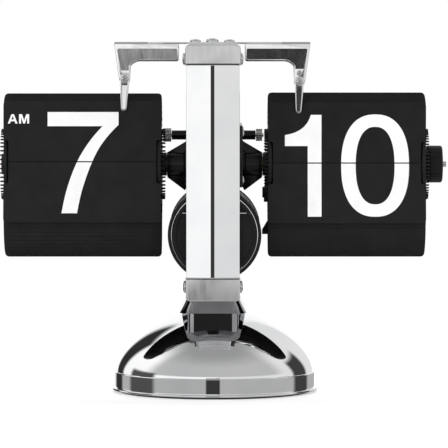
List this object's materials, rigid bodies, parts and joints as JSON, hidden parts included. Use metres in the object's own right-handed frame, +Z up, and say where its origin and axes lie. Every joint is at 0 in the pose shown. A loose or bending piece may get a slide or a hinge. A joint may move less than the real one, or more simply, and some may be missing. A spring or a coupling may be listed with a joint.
{
  "type": "flip number clock",
  "caption": "Desk clock with hour and minute drums of hinged number leaves either side of a chromed column on a domed round base.",
  "frame": {"origin": "centre of the underside of the base, where the clock rests", "axes": "+Z up, +X from the hour drum towards the minute drum, -Y towards the reader"},
  "size_m": [0.2029, 0.0938, 0.1613],
  "materials": {
    "rubber": "matt, fine texture",
    "chrome": "polished mirror",
    "dark_chrome": "smoked plating",
    "chrome_cast": "bright plating over a casting, slightly softer than the column",
    "iron": "bare turned disc",
    "steel": "turned and brushed",
    "black_gloss": "moulded, semi-gloss",
    "black_matte": "moulded, satin",
    "leaf": "thin satin sheet with white printed numerals",
    "nylon": "natural nylon",
    "brass": "stamped",
    "cell": "plain wrapped can"
  },
  "bodies": {
    "root": {"base_foot_pad": "rubber", "neck_block": "dark_chrome", "neck_skirt": "dark_chrome", "base_plate": "chrome", "base_dome": "chrome", "column_front_bar": "chrome", "column_rear_bar": "chrome", "top_plate": "chrome", "barrel_trim_ring": "chrome", "lower_collar": "chrome_cast", "upper_cap": "chrome_cast", "arm_left": "chrome_cast", "arm_right": "chrome_cast", "base_weight": "iron", "base_bolt": "steel", "side_screws": "steel", "top_screws": "steel", "finger_screws": "steel", "gearbox_screws": "steel", "motor": "steel", "battery_spring": "steel", "door_hinge_pin": "steel", "hour_axle": "steel", "axle_clip": "steel", "barrel_saddle": "black_gloss", "gearbox_left": "black_gloss", "gearbox_right": "black_gloss", "battery_barrel": "black_gloss", "barrel_front_cover": "black_gloss", "transfer_sleeve": "black_gloss", "minute_carry_tab": "black_matte", "minute_leaf_upper": "leaf", "minute_leaves_fan": "leaf", "minute_leaves_hanging": "leaf", "hour_leaf_upper": "leaf", "hour_leaves_fan": "leaf", "hour_leaves_hanging": "leaf", "gear_plate": "brass", "arbor_bush": "brass", "battery_cell": "cell"},
    "minute_drum": {"minute_arbor": "steel", "minute_wheel_inner": "black_matte", "minute_wheel_outer": "black_matte", "minute_core": "black_matte", "set_knob": "black_gloss", "drive_gear": "brass"},
    "hour_drum": {"hour_wheel_inner": "black_matte", "hour_wheel_outer": "black_matte", "hour_core": "black_matte"},
    "transfer": {"transfer_shaft": "steel", "hour_pinion": "nylon", "carry_star": "nylon"},
    "intermediate": {"intermediate_gear": "nylon"},
    "motor_rotor": {"motor_pinion": "nylon"},
    "minute_drop_leaf": {"minute_leaf_lower": "leaf"},
    "hour_drop_leaf": {"hour_leaf_lower": "leaf"},
    "left_finger": {"finger_left": "chrome_cast"},
    "right_finger": {"finger_right": "chrome_cast"},
    "battery_lid": {"battery_door": "black_gloss", "battery_contact": "brass"}
  },
  "joints": [
    {"name": "minute_drum_spin", "type": "hinge", "parent": "root", "child": "minute_drum", "pos_m": [0, 0, 0.1038], "axis": [1, 0, 0], "continuous": true},
    {"name": "hour_drum_spin", "type": "hinge", "parent": "root", "child": "hour_drum", "pos_m": [0, 0, 0.1038], "axis": [1, 0, 0], "continuous": true},
    {"name": "transfer_spin", "type": "hinge", "parent": "root", "child": "transfer", "pos_m": [0, 0.01295, 0.11675], "axis": [1, 0, 0], "continuous": true},
    {"name": "intermediate_spin", "type": "hinge", "parent": "root", "child": "intermediate", "pos_m": [0, -0.00866, 0.1088], "axis": [1, 0, 0], "continuous": true},
    {"name": "motor_spin", "type": "hinge", "parent": "root", "child": "motor_rotor", "pos_m": [0, -0.01766, 0.1088], "axis": [1, 0, 0], "continuous": true},
    {"name": "minute_leaf_drop", "type": "hinge", "parent": "root", "child": "minute_drop_leaf", "pos_m": [0, -0.0157, 0.10394], "axis": [-1, 0, 0], "range_deg": [0, 150]},
    {"name": "hour_leaf_drop", "type": "hinge", "parent": "root", "child": "hour_drop_leaf", "pos_m": [0, -0.01569, 0.10432], "axis": [-1, 0, 0], "range_deg": [0, 150]},
    {"name": "left_finger_swing", "type": "hinge", "parent": "root", "child": "left_finger", "pos_m": [-0.0406, -0.018, 0.1428], "axis": [0, 1, 0], "range_deg": [-15, 15]},
    {"name": "right_finger_swing", "type": "hinge", "parent": "root", "child": "right_finger", "pos_m": [0.0383, -0.018, 0.1415], "axis": [0, 1, 0], "range_deg": [-15, 15]},
    {"name": "battery_door_swing", "type": "hinge", "parent": "root", "child": "battery_lid", "pos_m": [0, 0.0352, 0.0501], "axis": [-1, 0, 0], "range_deg": [0, 95]}
  ],
  "couplings": [
    {"joint": "hour_drum_spin", "follows": "minute_drum_spin", "ratio": 0.041667},
    {"joint": "transfer_spin", "follows": "minute_drum_spin", "ratio": -0.25},
    {"joint": "intermediate_spin", "follows": "minute_drum_spin", "ratio": -3},
    {"joint": "motor_spin", "follows": "minute_drum_spin", "ratio": 10.5}
  ]
}
